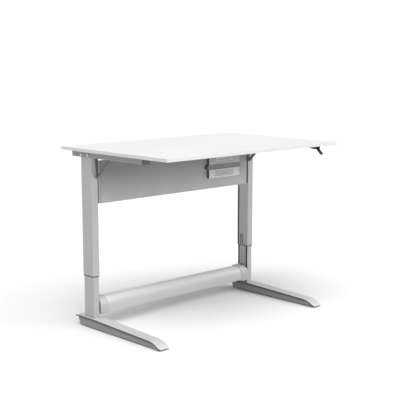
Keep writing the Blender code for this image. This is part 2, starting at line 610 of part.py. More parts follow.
# Rails, heads and gussets under the top ------------------------------------------------
def build_rail(name, side, paint):
    x_out = side * (LEG_X + RAIL_WIDTH / 2)
    x_in = side * (LEG_X - RAIL_WIDTH / 2)
    lo, hi = min(x_out, x_in), max(x_out, x_in)
    y0 = TOP_FRONT + RAIL_FRONT + CAP_THICK
    y1 = TOP_REAR - RAIL_REAR - CAP_THICK
    section = fillet(rectangle(lo, hi, RAIL_BOTTOM, RAIL_TOP), [0, 0, 2 * MM, 2 * MM], 3)
    rail = solid(f"{name}_rail", section, "Y", y0, y1, paint)
    cut(rail, rectangle(lo + RAIL_WALL, hi - RAIL_WALL, RAIL_BOTTOM - 5 * MM,
                        RAIL_TOP - RAIL_WALL), "Y", y0 - 5 * MM, y1 + 5 * MM)

    for where, end, way in (("front", y0, -1), ("rear", y1, 1)):
        face = end + way * GAP
        cap = solid(f"{name}_rail_cap_{where}", section, "Y", face, face + way * CAP_THICK,
                    PLASTIC)
        plug = rectangle(lo + RAIL_WALL + GAP, hi - RAIL_WALL - GAP, RAIL_BOTTOM + 1 * MM,
                         RAIL_TOP - RAIL_WALL - GAP)
        add(cap, plug, "Y", face + way * 1 * MM, face - way * CAP_PLUG)
        smooth(cap)

    head_front = LEG_FACE + 1 * MM
    block = fillet(rectangle(lo + RAIL_WALL + HEAD_CLEARANCE, hi - RAIL_WALL - HEAD_CLEARANCE,
                             head_front, head_front + HEAD_LONG), 2 * MM)
    head = solid(f"{name}_head_block", block, "Z", HEAD_BOTTOM, HEAD_TOP, CAST)
    bolt_z = (HEAD_TOP + HEAD_BOTTOM) / 2 - 2.5 * MM
    for where, inset in zip(("front", "rear"), SIDE_BOLT_INSETS):
        spot = (head_front + inset, bolt_z)
        hole = circle(*spot, SIDE_BOLT_R + HOLE_CLEARANCE, 20)
        cut(head, hole, "X", side * (LEG_X + RAIL_WIDTH / 2 + 5 * MM),
            side * (LEG_X + RAIL_WIDTH / 2 - SIDE_BOLT_LONG - 1 * MM))
        cut(rail, hole, "X", side * (LEG_X + RAIL_WIDTH / 2 + 5 * MM), side * LEG_X)
        seat = side * (LEG_X + RAIL_WIDTH / 2 + GAP)
        bolt = solid(f"{name}_rail_bolt_{where}", circle(*spot, SIDE_BOLT_HEAD_R, 24), "X",
                     seat, seat + side * SIDE_BOLT_HEAD, STEEL)
        add(bolt, circle(*spot, SIDE_BOLT_R, 20), "X", seat + side * 1 * MM,
            seat - side * SIDE_BOLT_LONG)
        smooth(bolt)
    smooth(head)

    roof = RAIL_TOP - RAIL_WALL
    for where, y in (("front", y0 + TOP_SCREW_FRONT), ("rear", y1 - TOP_SCREW_REAR)):
        spot = (side * LEG_X, y)
        cut(rail, circle(*spot, TOP_SCREW_R + HOLE_CLEARANCE, 16), "Z", roof - 2 * MM,
            RAIL_TOP + 2 * MM)
        screw = solid(f"{name}_top_screw_{where}", circle(*spot, TOP_SCREW_HEAD_R, 20), "Z",
                      roof - GAP - TOP_SCREW_HEAD, roof - GAP, STEEL)
        add(screw, circle(*spot, TOP_SCREW_R, 16), "Z", roof - 1 * MM,
            TOP_UNDER + TOP_SCREW_BITE)
        smooth(screw)
        SCREW_SPOTS.append(spot)
    smooth(rail)


def build_gusset(name, side, paint):
    """A folded web with a window, and flanges on the leg, under the rail and down the slope."""
    y1 = LEG_FACE - GAP
    z1 = RAIL_BOTTOM - GAP
    lip = 3 * MM
    near = LEG_INBOARD + GUSSET_INSET

    def across(width):
        return side * near, side * (near + width)

    outline = [(y1, z1 - GUSSET_LONG), (y1, z1), (y1 - GUSSET_LONG, z1),
               (y1 - GUSSET_LONG, z1 - lip), (y1 - lip, z1 - GUSSET_LONG)]
    gusset = solid(f"{name}_gusset", outline, "X", *across(GUSSET_WALL), paint)
    slope = GUSSET_LONG + lip - GUSSET_STRUT * 2 ** 0.5
    window = [(y1 - GUSSET_BAR, z1 - slope + GUSSET_BAR), (y1 - GUSSET_BAR, z1 - GUSSET_BAR),
              (y1 - slope + GUSSET_BAR, z1 - GUSSET_BAR)]
    cut(gusset, window, "X", side * (near - 1 * MM), side * (near + GUSSET_WALL + 1 * MM))
    fold = GUSSET_WALL / 2 ** 0.5
    slant = [(y1 - lip, z1 - GUSSET_LONG), (y1 - GUSSET_LONG, z1 - lip),
             (y1 - GUSSET_LONG + fold, z1 - lip + fold), (y1 - lip + fold, z1 - GUSSET_LONG + fold)]
    add(gusset, slant, "X", *across(GUSSET_LIP))
    foot = [(side * near, z1 - GUSSET_LONG), (side * (near + GUSSET_BAR), z1 - GUSSET_LONG),
            (side * (near + GUSSET_FOOT), z1), (side * near, z1)]
    add(gusset, foot, "Y", y1 - GUSSET_WALL, y1)
    head = [(side * near, y1 - GUSSET_LONG), (side * (near + GUSSET_FOOT), y1 - GUSSET_LONG),
            (side * (near + GUSSET_FOOT), y1), (side * near, y1)]
    add(gusset, head, "Z", z1 - GUSSET_WALL, z1)
    smooth(gusset, 30)


# Modesty panel and its brackets --------------------------------------------------------
def build_panel(paint):
    y0 = PANEL_FRONT
    y1 = y0 + PANEL_RETURN
    panel = solid("modesty_panel", fillet(rectangle(-PANEL_X, PANEL_X, PANEL_LOW, PANEL_HIGH),
                                          2 * MM), "Y", y0, y1, paint)
    cut(panel, rectangle(-PANEL_X + PANEL_SHEET, PANEL_X - PANEL_SHEET, PANEL_LOW + PANEL_SHEET,
                         PANEL_HIGH - PANEL_SHEET), "Y", y0 + PANEL_SHEET, y1 + 5 * MM)
    smooth(panel)
    for name, side in SIDES:
        face = y1 + GAP
        near = LEG_INBOARD - GAP
        far = PANEL_X - BRACKET_LAP
        corners = [(side * near, face), (side * far, face), (side * far, face + BRACKET_SHEET),
                   (side * (near - BRACKET_SHEET), face + BRACKET_SHEET),
                   (side * (near - BRACKET_SHEET), face + BRACKET_DEEP),
                   (side * near, face + BRACKET_DEEP)]
        bracket = solid(f"{name}_panel_bracket", corners, "Z", PANEL_LOW, PANEL_HIGH, paint)
        smooth(bracket)


# Control boxes on the panel ------------------------------------------------------------
def build_control_box():
    back = PANEL_FRONT - GAP
    right = LEG_INBOARD - BOX_RIGHT
    left = right - BOX_WIDTH
    low = PANEL_LOW + BOX_LOW
    rail_low = low + BOX_HIGH + GAP
    rail_high = rail_low + BOX_RAIL_HIGH
    for name, z in (("control_box_lower", low), ("control_box_upper", rail_high + GAP)):
        box = solid(name, fillet(rectangle(left, right, z, z + BOX_HIGH), BOX_ROUND, 3), "Y",
                    back - BOX_DEEP, back, CASE)
        soften(box, 1.0 * MM, 2)
        smooth(box, 60)
    edge = left - BOX_RAIL_OUT + INLET_WIDTH + GAP
    rail = solid("control_box_rail", rectangle(edge, right + BOX_RAIL_PAST, rail_low, rail_high), "Y",
                 back - BOX_RAIL_DEEP, back, CASE_DARK)
    smooth(rail)
    middle = (rail_low + rail_high) / 2
    inlet = solid("power_inlet", fillet(rectangle(left - BOX_RAIL_OUT, edge - GAP,
                                                  middle - INLET_HIGH / 2,
                                                  middle + INLET_HIGH / 2), 3 * MM, 3),
                  "Y", back - BOX_RAIL_DEEP, back, PLASTIC)
    hole = rectangle(back - BOX_RAIL_DEEP + INLET_PIN_WALL, back - INLET_PIN_WALL,
                     middle - INLET_HIGH / 2 + INLET_PIN_WALL + 2 * MM,
                     middle + INLET_HIGH / 2 - INLET_PIN_WALL - 2 * MM)
    cut(inlet, hole, "X", left - BOX_RAIL_OUT - 3 * MM, left - BOX_RAIL_OUT + INLET_DEPTH)
    smooth(inlet)


# Up and down switch --------------------------------------------------------------------
def build_switch():
    x1 = TOP_END - SWITCH_RIGHT
    x0 = x1 - SWITCH_WIDTH
    front = TOP_FRONT + SWITCH_SETBACK
    rear = front + SWITCH_LONG
    high = TOP_UNDER - GAP
    outline = [(front, high), (front, high - SWITCH_THICK + 4 * MM),
               (front + 6 * MM, high - SWITCH_THICK), (front + SWITCH_NOTCH, high - SWITCH_THICK),
               (rear, high - SWITCH_THIN), (rear, high)]
    housing = solid("switch_housing", outline, "X", x0, x1, PLASTIC)
    pivot_y = front + HUB_R + 3 * MM
    pivot_z = high - SWITCH_THICK + HUB_R + 2 * MM
    notch = rectangle(front - 5 * MM, front + SWITCH_NOTCH - 7 * MM, high - SWITCH_THICK - 5 * MM,
                      high - 3 * MM)
    cut(housing, notch, "X", x0 + SWITCH_CHEEK, x1 - SWITCH_CHEEK)
    cut(housing, circle(pivot_y, pivot_z, PIN_R + PIN_CLEARANCE, 16), "X", x0 - 2 * MM,
        x1 + 2 * MM)
    smooth(housing)

    pivot = ((x0 + x1) / 2, pivot_y, pivot_z)
    pin = solid("switch_pin", circle(pivot_y, pivot_z, PIN_R, 16), "X", x0 + 0.5 * MM,
                x1 - 0.5 * MM, STEEL)
    smooth(pin)

    p0 = x0 + SWITCH_CHEEK + PADDLE_SIDE_GAP
    p1 = x1 - SWITCH_CHEEK - PADDLE_SIDE_GAP
    paddle = solid("switch_paddle", circle(pivot_y, pivot_z, HUB_R), "X", p0, p1, PLASTIC, pivot)
    along = Vector((-cos(PADDLE_ANGLE), -sin(PADDLE_ANGLE)))
    square = Vector((-along.y, along.x))
    root = Vector((pivot_y, pivot_z))
    tip = root + along * PADDLE_LONG
    blade = [root + square * PADDLE_ROOT / 2, root - square * PADDLE_ROOT / 2,
             tip - square * PADDLE_TIP / 2, tip + square * PADDLE_TIP / 2]
    blade = fillet([tuple(p) for p in blade], [0, 0, 1.5 * MM, 1.5 * MM], 3)
    add(paddle, blade, "X", p0, p1)
    cut(paddle, circle(pivot_y, pivot_z, PIN_R + PIN_CLEARANCE, 16), "X", p0 - 2 * MM,
        p1 + 2 * MM)
    smooth(paddle)


# Desk top ------------------------------------------------------------------------------
def build_top(laminate):
    slab = solid("tabletop", fillet(rectangle(-TOP_END, TOP_END, TOP_FRONT, TOP_REAR), TOP_CORNER),
                 "Z", TOP_UNDER, REST_HEIGHT, laminate)
    for spot in SCREW_SPOTS:
        cut(slab, circle(*spot, TOP_SCREW_R + HOLE_CLEARANCE, 16), "Z", TOP_UNDER - 2 * MM,
            TOP_UNDER + TOP_SCREW_BITE + 1 * MM)
    smooth(slab)


clear_scene()
PAINT = material("silver_paint", (0.60, 0.60, 0.61), 0.45, 0.25)
PANEL_PAINT = material("panel_paint", (0.58, 0.58, 0.59), 0.5, 0.2)
FOOT_DARK = material("foot_channel_paint", (0.33, 0.33, 0.34), 0.5, 0.3)
LAMINATE = material("white_laminate", (0.90, 0.90, 0.90), 0.4, 0.0)
PLASTIC = material("black_plastic", (0.025, 0.025, 0.027), 0.5, 0.0)
NYLON = material("natural_nylon", (0.70, 0.68, 0.62), 0.5, 0.0)
STEEL = material("zinc_steel", (0.70, 0.70, 0.72), 0.3, 1.0)
CAST = material("cast_aluminium", (0.62, 0.62, 0.63), 0.42, 0.6)
CASE = material("light_grey_case", (0.66, 0.66, 0.67), 0.5, 0.0)
CASE_DARK = material("grey_case_rail", (0.36, 0.36, 0.37), 0.5, 0.0)
SCREW_SPOTS = []

for leg_name, leg_side in SIDES:
    build_tubes(leg_name, leg_side, PAINT, PLASTIC)
    build_foot(leg_name, leg_side, PAINT, FOOT_DARK)
    build_drive(leg_name, leg_side)
    build_rail(leg_name, leg_side, PAINT)
    build_gusset(leg_name, leg_side, PAINT)
build_beam(PAINT)
build_panel(PANEL_PAINT)
build_control_box()
build_switch()
build_top(LAMINATE)
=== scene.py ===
"""Height adjustable standing desk, finished for showing.

Metres, +Z up, the same frame as the solid parts.  The user stands on the -Y side.
The sections follow the desk as it is put together, from the feet up.
"""
import json
from math import cos, pi, radians, sin

import bmesh
import bpy
from mathutils import Matrix, Vector

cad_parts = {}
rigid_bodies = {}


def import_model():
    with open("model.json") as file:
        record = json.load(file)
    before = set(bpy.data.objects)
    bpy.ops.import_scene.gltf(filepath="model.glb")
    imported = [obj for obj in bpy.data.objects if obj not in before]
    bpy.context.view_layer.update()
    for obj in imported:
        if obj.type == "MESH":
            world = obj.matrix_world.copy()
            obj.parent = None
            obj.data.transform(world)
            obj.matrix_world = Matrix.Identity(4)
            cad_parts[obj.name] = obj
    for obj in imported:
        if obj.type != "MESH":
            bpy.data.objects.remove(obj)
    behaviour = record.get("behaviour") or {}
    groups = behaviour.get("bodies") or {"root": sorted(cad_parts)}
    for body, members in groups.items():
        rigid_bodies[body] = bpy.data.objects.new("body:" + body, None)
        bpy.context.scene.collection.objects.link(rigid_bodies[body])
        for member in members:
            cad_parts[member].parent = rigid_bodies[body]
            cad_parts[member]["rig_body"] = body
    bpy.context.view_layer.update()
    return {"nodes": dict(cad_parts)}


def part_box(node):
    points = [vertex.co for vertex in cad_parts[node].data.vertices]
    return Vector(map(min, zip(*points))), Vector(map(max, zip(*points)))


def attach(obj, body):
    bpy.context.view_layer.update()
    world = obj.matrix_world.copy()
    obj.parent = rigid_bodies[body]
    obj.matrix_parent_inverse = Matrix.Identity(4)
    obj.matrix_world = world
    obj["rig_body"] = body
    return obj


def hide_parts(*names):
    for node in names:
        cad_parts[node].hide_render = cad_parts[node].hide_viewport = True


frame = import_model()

SIDES = (("left", -1.0), ("right", 1.0))
MM = 0.001


# Foot channels and foot plates ---------------------------------------------------------
# A folded steel channel stands on two glides and carries a 4.5 mm plate whose toe is rolled
# down.  Both are powder coated: the plate in bright silver with its side faces painted near
# black, the channel in a darker grey with painted shade under the overhanging plate that
# turns to painted light towards the floor.
PLATE_SILVER = (0.64, 0.64, 0.64, 1)
PLATE_EDGE_GREY = (0.030, 0.030, 0.031, 1)
CHANNEL_GREY = (0.19, 0.19, 0.19, 1)
PEEL_SCALE = 900.0            # orange peel in the coat, per metre
FLAKE_SCALE = 3200.0          # metal flake in the coat, per metre
FOOT_EDGE = 0.5 * MM
ROOF_FRONT = (-0.242, 0.0332)     # y and z where the channel's roof starts to slope up
ROOF_REAR = (0.1655, 0.0482)      # and where it levels off
OVERHANG_SHADE = 15.0 * MM        # how far down the dark band reaches
OVERHANG_SHADE_TONES = (0.42, 1.32)     # painted shade under the plate and painted light at the foot of that band


def new_material(name):
    """An empty material with one surface shader, ready for its nodes."""
    mat = bpy.data.materials.new(name)
    mat.use_nodes = True
    mat.node_tree.nodes.clear()
    nodes, links = mat.node_tree.nodes, mat.node_tree.links
    out = nodes.new("ShaderNodeOutputMaterial")
    skin = nodes.new("ShaderNodeBsdfPrincipled")
    links.new(skin.outputs["BSDF"], out.inputs["Surface"])
    return mat, nodes, links, skin


def object_place(nodes, links, stretch=(1, 1, 1)):
    """The place on the desk in metres, stretched where a pattern runs one way."""
    spot = nodes.new("ShaderNodeTexCoord")
    mapping = nodes.new("ShaderNodeMapping")
    mapping.inputs["Scale"].default_value = stretch
    links.new(spot.outputs["Object"], mapping.inputs["Vector"])
    return mapping.outputs["Vector"]


def grain(nodes, links, place, scale, detail=2.0, rough=0.5):
    """Random grain with that many cells to the metre."""
    tex = nodes.new("ShaderNodeTexNoise")
    tex.inputs["Scale"].default_value = scale
    tex.inputs["Detail"].default_value = detail
    tex.inputs["Roughness"].default_value = rough
    links.new(place, tex.inputs["Vector"])
    return tex.outputs["Fac"]


def spread(nodes, links, value, low, high, start=0.3, stop=0.7):
    """Low where the value is at start, high where it is at stop, even between."""
    step = nodes.new("ShaderNodeMapRange")
    step.inputs["From Min"].default_value = start
    step.inputs["From Max"].default_value = stop
    step.inputs["To Min"].default_value = low
    step.inputs["To Max"].default_value = high
    links.new(value, step.inputs["Value"])
    return step.outputs["Result"]


def sums(nodes, links, how, a, b):
    node = nodes.new("ShaderNodeMath")
    node.operation = how
    for socket, value in zip(node.inputs, (a, b)):
        if isinstance(value, (int, float)):
            socket.default_value = value
        else:
            links.new(value, socket)
    return node.outputs["Value"]


def tinted(nodes, links, colour, factor):
    """The colour made lighter or darker by a factor near 1."""
    node = nodes.new("ShaderNodeVectorMath")
    node.operation = "SCALE"
    node.inputs[0].default_value = colour[:3]
    links.new(factor, node.inputs["Scale"])
    return node.outputs["Vector"]


def raised(nodes, links, height, deep, strength, skin):
    """Fine relief on the surface, that many metres deep."""
    node = nodes.new("ShaderNodeBump")
    node.inputs["Strength"].default_value = strength
    node.inputs["Distance"].default_value = deep
    links.new(height, node.inputs["Height"])
    links.new(node.outputs["Normal"], skin.inputs["Normal"])


def overhang_painted_shade(nodes, links):
    """Painted shade just under the sloping plate, painted light towards the floor."""
    parts = nodes.new("ShaderNodeSeparateXYZ")
    links.new(object_place(nodes, links), parts.inputs["Vector"])
    roof = spread(nodes, links, parts.outputs["Y"], ROOF_FRONT[1], ROOF_REAR[1],
                  ROOF_FRONT[0], ROOF_REAR[0])
    below = sums(nodes, links, "SUBTRACT", roof, parts.outputs["Z"])
    return spread(nodes, links, below, *OVERHANG_SHADE_TONES, 0.0, OVERHANG_SHADE)


def painted_light_by_height(nodes, links, painted_height_light):
    """Painted light and shade that change evenly between two heights: (low z, its tone, high z, its
    tone).
    """
    parts = nodes.new("ShaderNodeSeparateXYZ")
    links.new(object_place(nodes, links), parts.inputs["Vector"])
    return spread(nodes, links, parts.outputs["Z"], painted_height_light[1], painted_height_light[3], painted_height_light[0], painted_height_light[2])


def powder_coat(name, colour, gloss=0.42, metal=0.25, edge_lift=0.16, with_overhang_shade=False, painted_height_light=None):
    """Metallic powder coat: orange peel, flake, faint handling marks, thin coat on the edges."""
    mat, nodes, links, skin = new_material(name)
    place = object_place(nodes, links)
    peel = grain(nodes, links, place, PEEL_SCALE, 2.0)
    flake = grain(nodes, links, place, FLAKE_SCALE, 0.0)
    cloud = grain(nodes, links, place, 5.0, 3.0)
    rubbed = grain(nodes, links, object_place(nodes, links, (1, 0.25, 1)), 60.0, 5.0, 0.7)
    tone = sums(nodes, links, "ADD", spread(nodes, links, cloud, 0.975, 1.02),
                spread(nodes, links, flake, -0.035, 0.035))
    worn = nodes.new("ShaderNodeAttribute")
    worn.attribute_name = "edge"
    bare = sums(nodes, links, "MULTIPLY", worn.outputs["Fac"], edge_lift)
    tone = sums(nodes, links, "ADD", tone, bare)
    if with_overhang_shade:
        # painted shade under the overhanging foot plate, painted light lower down
        tone = sums(nodes, links, "MULTIPLY", tone, overhang_painted_shade(nodes, links))
    # painted light and shade that change with height
    if painted_height_light:
        tone = sums(nodes, links, "MULTIPLY", tone, painted_light_by_height(nodes, links, painted_height_light))
    links.new(tinted(nodes, links, colour, tone), skin.inputs["Base Color"])
    rough = sums(nodes, links, "ADD", spread(nodes, links, rubbed, gloss - 0.05, gloss + 0.07),
                 spread(nodes, links, flake, -0.03, 0.03))
    links.new(rough, skin.inputs["Roughness"])
    skin.inputs["Metallic"].default_value = metal
    skin.inputs["Specular IOR Level"].default_value = 0.5
    raised(nodes, links, peel, 0.05 * MM, 0.35, skin)
    return mat


def finished(node, material, edge=0.4 * MM, steps=2, sharp=32.0):
    """The solid's own shape with its hard edges eased, standing for that solid."""
    shape = bmesh.new()
    shape.from_mesh(frame["nodes"][node].data)
    bmesh.ops.remove_doubles(shape, verts=shape.verts, dist=2e-6)
    bmesh.ops.dissolve_limit(shape, angle_limit=radians(0.3), verts=shape.verts, edges=shape.edges)
    mark = shape.faces.layers.float.new("edge")
    if edge:
        hard = [e for e in shape.edges if e.is_manifold and e.calc_face_angle(0.0) > radians(sharp)]
        eased = bmesh.ops.bevel(shape, geom=hard, offset=edge, segments=steps, profile=0.5,
                                affect="EDGES", clamp_overlap=True)
        for face in eased["faces"]:
            face[mark] = 1.0
    mesh = bpy.data.meshes.new(node + "_finish")
    shape.to_mesh(mesh)
    shape.free()
    if "custom_normal" in mesh.attributes:
        mesh.attributes.remove(mesh.attributes["custom_normal"])
    mesh.materials.clear()
    mesh.materials.append(material)
    mesh.polygons.foreach_set("material_index", [0] * len(mesh.polygons))
    mesh.polygons.foreach_set("use_smooth", [True] * len(mesh.polygons))
    mesh.set_sharp_from_angle(angle=radians(40.0))
    piece = bpy.data.objects.new(node + "_finish", mesh)
    bpy.context.scene.collection.objects.link(piece)
    weights = piece.modifiers.new("even shading", "WEIGHTED_NORMAL")
    weights.keep_sharp = True
    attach(piece, frame["nodes"][node]["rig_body"])
    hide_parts(node)
    return piece


def faced(piece, material, axis, low, high):
    """Paints the faces whose normal lies between low and high along one axis."""
    piece.data.materials.append(material)
    for face in piece.data.polygons:
        if low < face.normal[axis] < high:
            face.material_index = len(piece.data.materials) - 1


plate_silver = powder_coat("foot plate coat", PLATE_SILVER, gloss=0.40)
plate_edge = powder_coat("foot plate edge", PLATE_EDGE_GREY, gloss=0.5, edge_lift=0.3)
# the channel's coat carries painted shade under the plate's overhang
channel_grey = powder_coat("channel grey powder coat", CHANNEL_GREY, gloss=0.5, with_overhang_shade=True)
for side, _ in SIDES:
    finished(f"{side}_foot", channel_grey, edge=0.3 * MM)
    plate = finished(f"{side}_foot_plate", plate_silver, edge=FOOT_EDGE, steps=3)
    # the plate's side faces are painted near black
    faced(plate, plate_edge, 2, -2.0, 0.35)


# Glides --------------------------------------------------------------------------------
# Four moulded black feet on threaded studs.  Fine grip ribs run round the rim so that the
# glide can be turned by hand to level the desk.
GLIDE_BLACK = (0.020, 0.020, 0.021, 1)
GLIDE_RIBS = 32
GLIDE_RIB_R = 0.55 * MM
GLIDE_RIB_HIGH = 3.6 * MM
GLIDE_RIB_MIDDLE = 3.0 * MM   # middle of the ribs above the floor
GLIDE_RIB_SUNK = 0.6          # share of a rib's radius sunk into the rim


def moulded_plastic(name, colour, gloss=0.45, texture=1400.0, relief=0.3, painted_height_light=None):
    """Moulded plastic with a spark-eroded texture and a faint bloom."""
    mat, nodes, links, skin = new_material(name)
    place = object_place(nodes, links)
    spark = grain(nodes, links, place, texture, 3.0, 0.6)
    bloom = grain(nodes, links, place, 35.0, 4.0, 0.6)
    tone = spread(nodes, links, bloom, 0.93, 1.08)
    # painted light and shade that change with height
    if painted_height_light:
        tone = sums(nodes, links, "MULTIPLY", tone, painted_light_by_height(nodes, links, painted_height_light))
    links.new(tinted(nodes, links, colour, tone), skin.inputs["Base Color"])
    links.new(spread(nodes, links, bloom, gloss - 0.06, gloss + 0.09), skin.inputs["Roughness"])
    skin.inputs["Specular IOR Level"].default_value = 0.45
    raised(nodes, links, spark, 0.06 * MM, relief, skin)
    return mat


def maker_tree(name, inputs):
    """A node tree with a geometry input, the named inputs, and a geometry output."""
    tree = bpy.data.node_groups.new(name, "GeometryNodeTree")
    tree.interface.new_socket("Geometry", in_out="INPUT", socket_type="NodeSocketGeometry")
    for label, kind in inputs:
        tree.interface.new_socket(label, in_out="INPUT", socket_type="NodeSocket" + kind)
    tree.interface.new_socket("Geometry", in_out="OUTPUT", socket_type="NodeSocketGeometry")
    nodes = tree.nodes
    return tree, nodes, tree.links, nodes.new("NodeGroupInput"), nodes.new("NodeGroupOutput")


def close_tree(nodes, links, start, end, geometry, smooth=False):
    """Realises the copies, paints them and hands them out."""
    real = nodes.new("GeometryNodeRealizeInstances")
    links.new(geometry, real.inputs["Geometry"])
    last = real.outputs["Geometry"]
    if smooth:
        shade = nodes.new("GeometryNodeSetShadeSmooth")
        links.new(last, shade.inputs["Geometry"])
        last = shade.outputs["Geometry"]
    paint = nodes.new("GeometryNodeSetMaterial")
    links.new(last, paint.inputs["Geometry"])
    links.new(start.outputs["Material"], paint.inputs["Material"])
    links.new(paint.outputs["Geometry"], end.inputs["Geometry"])


def made(tree, name, body, slot, sharp=None, **values):
    """Runs a maker tree once and keeps what it makes as a plain mesh on that body."""
    host = bpy.data.objects.new(name + "_maker", bpy.data.meshes.new(name + "_maker"))
    bpy.context.scene.collection.objects.link(host)
    maker = host.modifiers.new("maker", "NODES")
    maker.node_group = tree
    for item in tree.interface.items_tree:
        if item.item_type == "SOCKET" and item.in_out == "INPUT" and item.name in values:
            maker[item.identifier] = values[item.name]
    depsgraph = bpy.context.evaluated_depsgraph_get()
    mesh = bpy.data.meshes.new_from_object(host.evaluated_get(depsgraph), depsgraph=depsgraph)
    bpy.data.objects.remove(host)
    mesh.name = name
    if sharp:
        mesh.set_sharp_from_angle(angle=radians(sharp))
    piece = bpy.data.objects.new(name, mesh)
    bpy.context.scene.collection.objects.link(piece)
    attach(piece, body)
    return piece


def rib_ring_tree():
    tree, nodes, links, start, end = maker_tree("ribs round a rim", [
        ("Centre", "Vector"), ("Radius", "Float"), ("Count", "Int"), ("Rib", "Float"),
        ("Height", "Float"), ("Material", "Material")])
    ring = nodes.new("GeometryNodeMeshCircle")
    links.new(start.outputs["Count"], ring.inputs["Vertices"])
    links.new(start.outputs["Radius"], ring.inputs["Radius"])
    rib = nodes.new("GeometryNodeMeshCylinder")
    rib.inputs["Vertices"].default_value = 8
    links.new(start.outputs["Rib"], rib.inputs["Radius"])
    links.new(start.outputs["Height"], rib.inputs["Depth"])
    copies = nodes.new("GeometryNodeInstanceOnPoints")
    links.new(ring.outputs["Mesh"], copies.inputs["Points"])
    links.new(rib.outputs["Mesh"], copies.inputs["Instance"])
    move = nodes.new("GeometryNodeTransform")
    links.new(copies.outputs["Instances"], move.inputs["Geometry"])
    links.new(start.outputs["Centre"], move.inputs["Translation"])
    close_tree(nodes, links, start, end, move.outputs["Geometry"], smooth=True)
    return tree


glide_plastic = moulded_plastic("glide plastic", GLIDE_BLACK, gloss=0.55)
rib_ring = rib_ring_tree()
for side, _ in SIDES:
    for end in ("front", "rear"):
        node = f"{side}_{end}_glide"
        finished(node, glide_plastic, edge=0.5 * MM)
        low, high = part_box(node)
        centre = (low + high) / 2
        radius = (high.x - low.x) / 2
        made(rib_ring, f"{side}_{end}_glide_ribs", "base", "black_plastic", sharp=40,
             Centre=(centre.x, centre.y, GLIDE_RIB_MIDDLE), Count=GLIDE_RIBS,
             Radius=radius - GLIDE_RIB_SUNK * GLIDE_RIB_R, Rib=GLIDE_RIB_R,
             Height=GLIDE_RIB_HIGH, Material=glide_plastic)


# Lower tubes ---------------------------------------------------------------------------
# Rolled steel tubes, bolted down through the foot plates and powder coated in silver.  A
# black strip of painted shade lies in the guide groove and another in the step of the rear
# corner.
SILVER = (0.375, 0.375, 0.375, 1)
SHADE_STRIP_BLACK = (0.015, 0.015, 0.016, 1)
STRIP_THICK = 1.1 * MM
STRIP_INSET = 0.6 * MM        # strip in from the edges of its groove
STRIP_ENDS = 3.0 * MM         # strip short of the ends of the tube
GROOVE_FLOOR = 3.4 * MM       # back of the strip in from the tube's inboard face
GROOVE_FRONT = 3.5 * MM       # front of the tube to the near edge of the groove
GROOVE_REAR = 15.5 * MM       # and to its far edge
STEP_LONG = 12.0 * MM         # step in the rear corner, front to back
STEP_FLOOR = 2.9 * MM
LOWER_STEP_FACE = 0.7 * MM    # face of the corner strip in from the tube's inboard face
CORNER_INSET = 0.5 * MM       # corner strip in from the rear of the tube


def block(name, low, high, material, body, edge=0.2 * MM, steps=2):
    """A small rectangular piece with eased edges."""
    shape = bmesh.new()
    bmesh.ops.create_cube(shape, size=1.0)
    low, high = Vector(low), Vector(high)
    bmesh.ops.scale(shape, vec=high - low, verts=shape.verts)
    bmesh.ops.translate(shape, vec=(low + high) / 2, verts=shape.verts)
    if edge:
        bmesh.ops.bevel(shape, geom=shape.edges[:], offset=edge, segments=steps, profile=0.5,
                        affect="EDGES", clamp_overlap=True)
    mesh = bpy.data.meshes.new(name)
    shape.to_mesh(mesh)
    shape.free()
    mesh.materials.append(material)
    mesh.polygons.foreach_set("use_smooth", [True] * len(mesh.polygons))
    mesh.set_sharp_from_angle(angle=radians(40.0))
    piece = bpy.data.objects.new(name, mesh)
    bpy.context.scene.collection.objects.link(piece)
    weights = piece.modifiers.new("even shading", "WEIGHTED_NORMAL")
    weights.keep_sharp = True
    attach(piece, body)
    return piece


def across(side, inner, outer):
    """The x range of something between two distances from the desk's middle, on one side."""
    return tuple(sorted((side * inner, side * outer)))


silver = powder_coat("silver powder coat", SILVER)
shade_strip_plastic = moulded_plastic("painted shade strip", SHADE_STRIP_BLACK, gloss=0.5)
for side, sign in SIDES:
    finished(f"{side}_lower_tube", silver, edge=0.35 * MM)
    low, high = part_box(f"{side}_lower_tube")
    inner = min(abs(low.x), abs(high.x))
    z0, z1 = low.z + STRIP_ENDS, high.z - STRIP_ENDS
    # black strips of painted shade in the guide groove and in the rear corner step
    x0, x1 = across(sign, inner + GROOVE_FLOOR - STRIP_THICK, inner + GROOVE_FLOOR)
    block(f"{side}_groove_shade_strip", (x0, low.y + GROOVE_FRONT + STRIP_INSET, z0),
          (x1, low.y + GROOVE_REAR - STRIP_INSET, z1), shade_strip_plastic, "base")
    x0, x1 = across(sign, inner + LOWER_STEP_FACE, inner + STEP_FLOOR)
    block(f"{side}_lower_corner_shade_strip", (x0, high.y - STEP_LONG + STRIP_INSET, z0),
          (x1, high.y - CORNER_INSET, z1), shade_strip_plastic, "base")


# Nut posts, lift nuts and column bolts --------------------------------------------------
# Inside each lower tube a cast post stands on the base plate and holds the nylon lift nut.
# Two zinc plated bolts come up through the foot plate into the base of the tube.
CAST_GREY = (0.42, 0.42, 0.43, 1)
CAST_EDGE_LIFT = 0.12         # paler where handling has worn an edge
NYLON = (0.74, 0.71, 0.62, 1)
ZINC = (0.72, 0.73, 0.74, 1)


